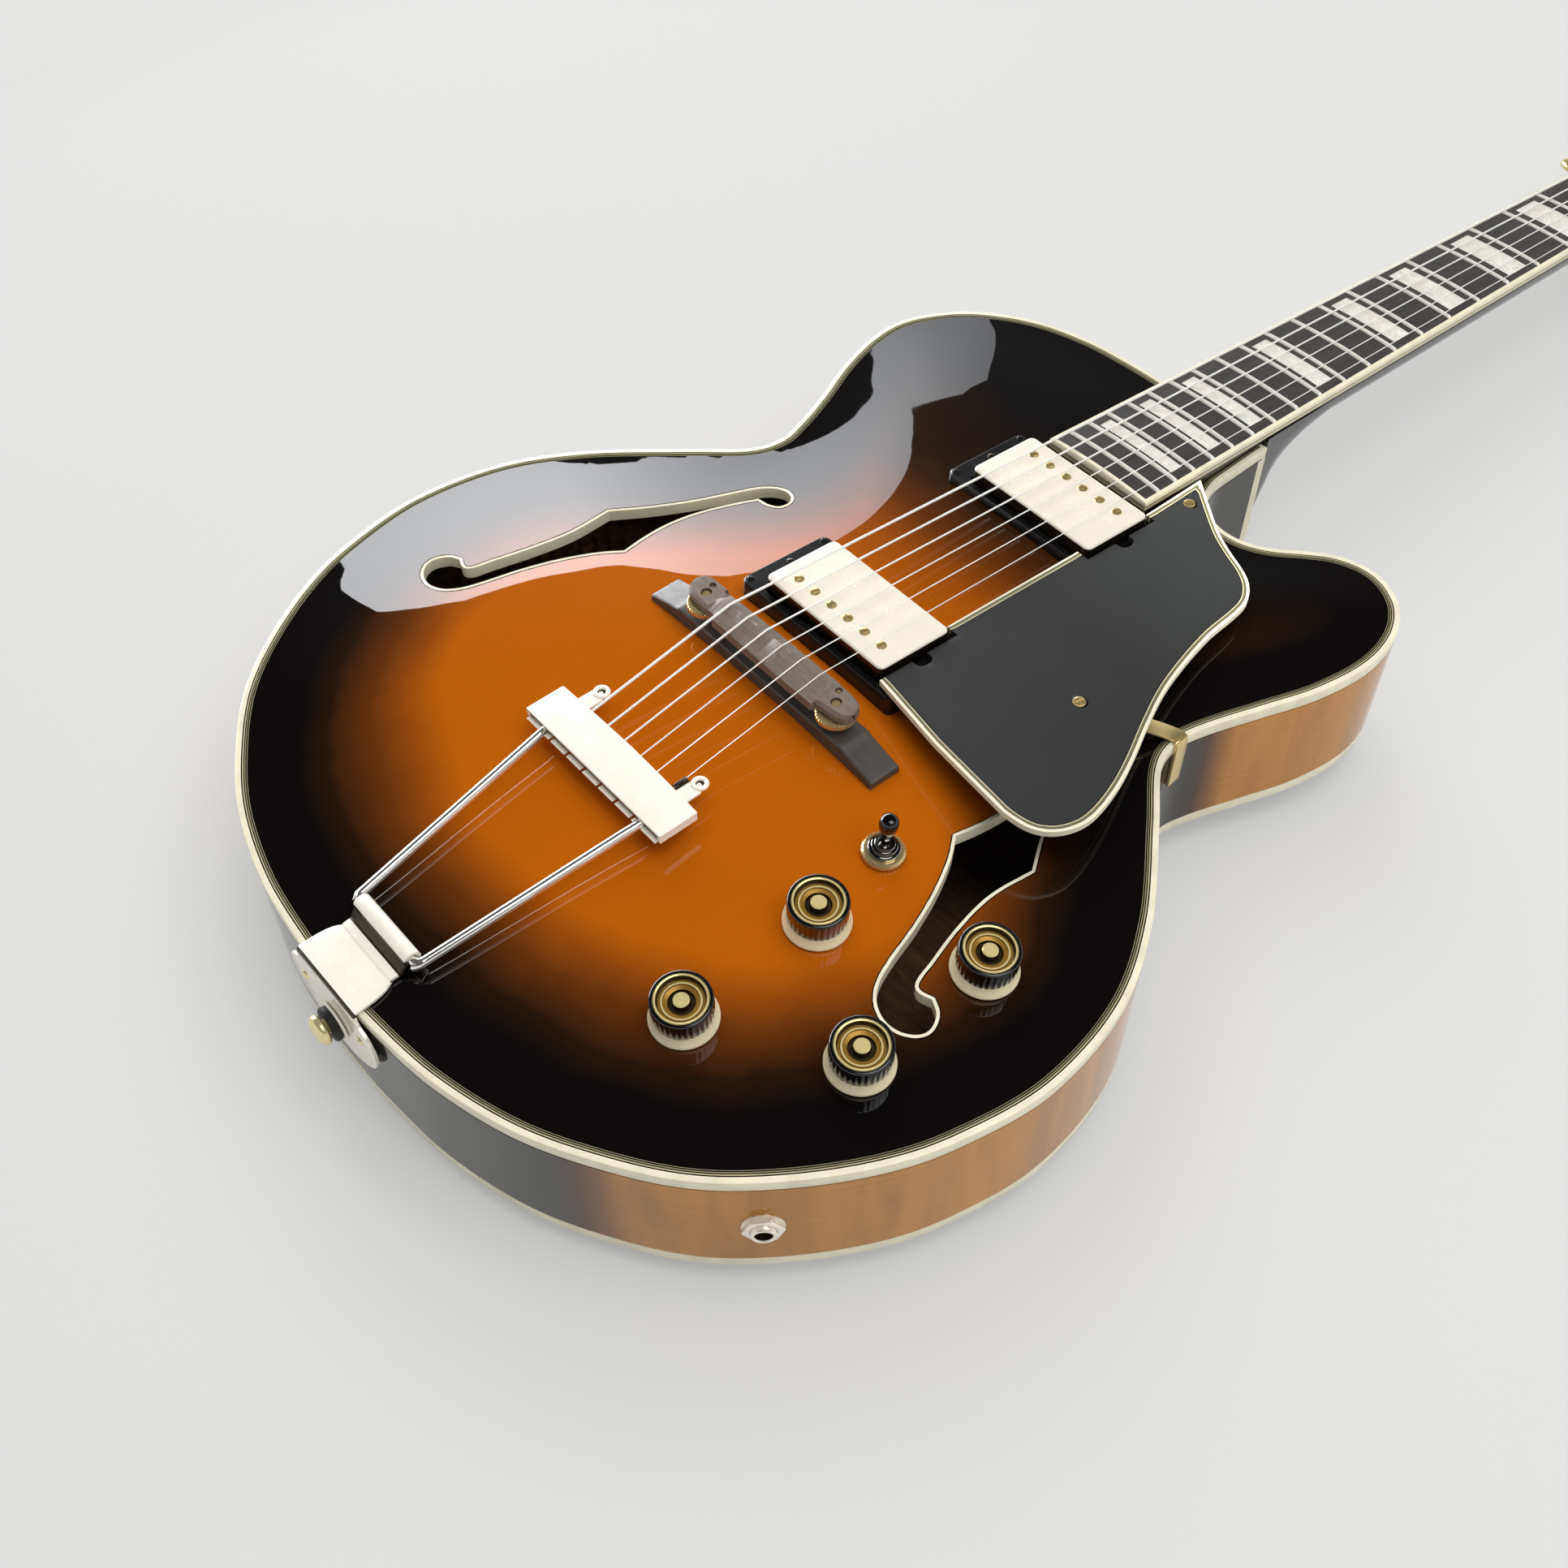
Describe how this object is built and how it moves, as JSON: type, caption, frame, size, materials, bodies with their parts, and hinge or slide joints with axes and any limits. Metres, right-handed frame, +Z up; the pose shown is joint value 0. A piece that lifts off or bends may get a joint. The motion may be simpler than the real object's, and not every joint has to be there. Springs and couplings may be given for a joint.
{
  "type": "archtop electric guitar",
  "caption": "Full-depth hollow archtop electric guitar with one rounded cutaway, bound f-holes, floating wooden bridge, trapeze tailpiece, covered pickups, raised pickguard and geared tuners.",
  "frame": {"origin": "ground point under the centre of the bounding box, with the guitar lying on its arched back and the end of its headstock", "axes": "+Y from the tail to the headstock, +X to the treble side, +Z up out of the carved top"},
  "size_m": [0.3998, 1.0244, 0.1111],
  "materials": {
    "sunburst_lacquer": "gloss",
    "flamed_maple": "gloss",
    "binding": "gloss",
    "raw_wood": "matte",
    "black_lacquer": "gloss",
    "fingerboard_wood": "satin",
    "steel_strings": "satin",
    "pickup_cover": "gloss",
    "black_plastic": "gloss",
    "guard_plastic": "satin",
    "bridge_wood": "satin",
    "knob_plastic": "gloss",
    "pot_steel": "satin",
    "gold_plate": "gloss"
  },
  "bodies": {
    "body": {"back_binding": "binding", "back_plate": "flamed_maple", "bridge_base": "bridge_wood", "bridge_pickup_ring": "black_plastic", "bridge_tone_pot": "pot_steel", "bridge_volume_pot": "pot_steel", "end_block": "raw_wood", "end_pin": "gold_plate", "fhole_binding_bass": "binding", "fhole_binding_treble": "binding", "fretboard": "fingerboard_wood", "fretboard_binding": "binding", "neck": "black_lacquer", "neck_block": "raw_wood", "neck_pickup_ring": "black_plastic", "neck_tone_pot": "pot_steel", "neck_volume_pot": "pot_steel", "nut": "binding", "output_jack": "gold_plate", "pickguard": "guard_plastic", "pickguard_bracket": "gold_plate", "rim": "flamed_maple", "strap_button": "gold_plate", "string_1": "steel_strings", "string_2": "steel_strings", "string_3": "steel_strings", "string_4": "steel_strings", "string_5": "steel_strings", "string_6": "steel_strings", "tailpiece_bar": "gold_plate", "tailpiece_bracket": "gold_plate", "tailpiece_rods": "gold_plate", "toggle_switch": "gold_plate", "top_binding": "binding", "top_plate": "sunburst_lacquer", "truss_rod_cover": "black_plastic", "tuner_plate_bass": "gold_plate", "tuner_plate_treble": "gold_plate"},
    "neck_pickup": {"neck_pickup": "pickup_cover"},
    "bridge_pickup": {"bridge_pickup": "pickup_cover"},
    "saddle": {"bridge_saddle": "bridge_wood"},
    "thumbwheel_bass": {"thumbwheel_bass": "gold_plate"},
    "thumbwheel_treble": {"thumbwheel_treble": "gold_plate"},
    "toggle_lever": {"toggle_lever": "black_plastic"},
    "neck_volume_knob": {"neck_volume_knob": "knob_plastic"},
    "neck_tone_knob": {"neck_tone_knob": "knob_plastic"},
    "bridge_volume_knob": {"bridge_volume_knob": "knob_plastic"},
    "bridge_tone_knob": {"bridge_tone_knob": "knob_plastic"},
    "tuner_button_1": {"tuner_button_1": "gold_plate"},
    "tuner_button_2": {"tuner_button_2": "gold_plate"},
    "tuner_button_3": {"tuner_button_3": "gold_plate"},
    "tuner_button_4": {"tuner_button_4": "gold_plate"},
    "tuner_button_5": {"tuner_button_5": "gold_plate"},
    "tuner_button_6": {"tuner_button_6": "gold_plate"},
    "tuner_post_1": {"tuner_post_1": "gold_plate"},
    "tuner_post_2": {"tuner_post_2": "gold_plate"},
    "tuner_post_3": {"tuner_post_3": "gold_plate"},
    "tuner_post_4": {"tuner_post_4": "gold_plate"},
    "tuner_post_5": {"tuner_post_5": "gold_plate"},
    "tuner_post_6": {"tuner_post_6": "gold_plate"}
  },
  "joints": [
    {"name": "neck_pickup_height", "type": "slide", "parent": "body", "child": "neck_pickup", "axis": [0, 0.0616, 0.9981], "range_m": [-0.003, 0.0015]},
    {"name": "bridge_pickup_height", "type": "slide", "parent": "body", "child": "bridge_pickup", "axis": [0, 0.0616, 0.9981], "range_m": [-0.003, 0.0015]},
    {"name": "saddle_height", "type": "slide", "parent": "body", "child": "saddle", "axis": [0, -0.0145, 0.9999], "range_m": [-0.0024, 0.0024], "deforming": ["string_1", "string_2", "string_3", "string_4", "string_5", "string_6"]},
    {"name": "thumbwheel_bass_turn", "type": "hinge", "parent": "saddle", "child": "thumbwheel_bass", "pos_m": [-0.0395, -0.29317, 0.10029], "axis": [0, -0.0145, 0.9999], "range_deg": [-1080, 1080]},
    {"name": "thumbwheel_treble_turn", "type": "hinge", "parent": "saddle", "child": "thumbwheel_treble", "pos_m": [0.0395, -0.29317, 0.10029], "axis": [0, -0.0145, 0.9999], "range_deg": [-1080, 1080]},
    {"name": "neck_volume_turn", "type": "hinge", "parent": "body", "child": "neck_volume_knob", "pos_m": [0.1515, -0.32071, 0.07888], "axis": [0.1005, 0.0008, 0.9949], "range_deg": [-140, 140]},
    {"name": "neck_tone_turn", "type": "hinge", "parent": "body", "child": "neck_tone_knob", "pos_m": [0.1509, -0.37978, 0.07718], "axis": [0.0922, -0.055, 0.9942], "range_deg": [-140, 140]},
    {"name": "bridge_volume_turn", "type": "hinge", "parent": "body", "child": "bridge_volume_knob", "pos_m": [0.0994, -0.35464, 0.08352], "axis": [0.0923, -0.0452, 0.9947], "range_deg": [-140, 140]},
    {"name": "bridge_tone_turn", "type": "hinge", "parent": "body", "child": "bridge_tone_knob", "pos_m": [0.0981, -0.41505, 0.07889], "axis": [0.0682, -0.101, 0.9925], "range_deg": [-140, 140]},
    {"name": "pickup_switch", "type": "hinge", "parent": "body", "child": "toggle_lever", "pos_m": [0.09299, -0.31602, 0.09091], "axis": [0.9952, 0.0004, -0.098], "range_deg": [-15, 15]},
    {"name": "tuner_1_turn", "type": "hinge", "parent": "body", "child": "tuner_button_1", "pos_m": [0.02928, 0.37349, 0.0326], "axis": [0.9975, -0.0686, 0.0191], "continuous": true},
    {"name": "tuner_2_turn", "type": "hinge", "parent": "body", "child": "tuner_button_2", "pos_m": [0.03228, 0.41396, 0.02136], "axis": [0.9975, -0.0686, 0.0191], "continuous": true},
    {"name": "tuner_3_turn", "type": "hinge", "parent": "body", "child": "tuner_button_3", "pos_m": [0.03528, 0.45442, 0.01011], "axis": [0.9975, -0.0686, 0.0191], "continuous": true},
    {"name": "tuner_4_turn", "type": "hinge", "parent": "body", "child": "tuner_button_4", "pos_m": [-0.03528, 0.45442, 0.01011], "axis": [-0.9975, -0.0686, 0.0191], "continuous": true},
    {"name": "tuner_5_turn", "type": "hinge", "parent": "body", "child": "tuner_button_5", "pos_m": [-0.03228, 0.41396, 0.02136], "axis": [-0.9975, -0.0686, 0.0191], "continuous": true},
    {"name": "tuner_6_turn", "type": "hinge", "parent": "body", "child": "tuner_button_6", "pos_m": [-0.02928, 0.37349, 0.0326], "axis": [-0.9975, -0.0686, 0.0191], "continuous": true},
    {"name": "post_1_turn", "type": "hinge", "parent": "body", "child": "tuner_post_1", "pos_m": [0.021, 0.37919, 0.05092], "axis": [0, 0.2677, 0.9635], "continuous": true},
    {"name": "post_2_turn", "type": "hinge", "parent": "body", "child": "tuner_post_2", "pos_m": [0.024, 0.41966, 0.03967], "axis": [0, 0.2677, 0.9635], "continuous": true},
    {"name": "post_3_turn", "type": "hinge", "parent": "body", "child": "tuner_post_3", "pos_m": [0.027, 0.46013, 0.02843], "axis": [0, 0.2677, 0.9635], "continuous": true},
    {"name": "post_4_turn", "type": "hinge", "parent": "body", "child": "tuner_post_4", "pos_m": [-0.027, 0.46013, 0.02843], "axis": [0, 0.2677, 0.9635], "continuous": true},
    {"name": "post_5_turn", "type": "hinge", "parent": "body", "child": "tuner_post_5", "pos_m": [-0.024, 0.41966, 0.03967], "axis": [0, 0.2677, 0.9635], "continuous": true},
    {"name": "post_6_turn", "type": "hinge", "parent": "body", "child": "tuner_post_6", "pos_m": [-0.021, 0.37919, 0.05092], "axis": [0, 0.2677, 0.9635], "continuous": true}
  ],
  "couplings": [
    {"joint": "saddle_height", "follows": "thumbwheel_bass_turn", "m_per_rad": 0.00012732},
    {"joint": "thumbwheel_treble_turn", "follows": "thumbwheel_bass_turn", "ratio": 1},
    {"joint": "post_1_turn", "follows": "tuner_1_turn", "ratio": 0.066667},
    {"joint": "post_2_turn", "follows": "tuner_2_turn", "ratio": 0.066667},
    {"joint": "post_3_turn", "follows": "tuner_3_turn", "ratio": 0.066667},
    {"joint": "post_4_turn", "follows": "tuner_4_turn", "ratio": 0.066667},
    {"joint": "post_5_turn", "follows": "tuner_5_turn", "ratio": 0.066667},
    {"joint": "post_6_turn", "follows": "tuner_6_turn", "ratio": 0.066667}
  ]
}
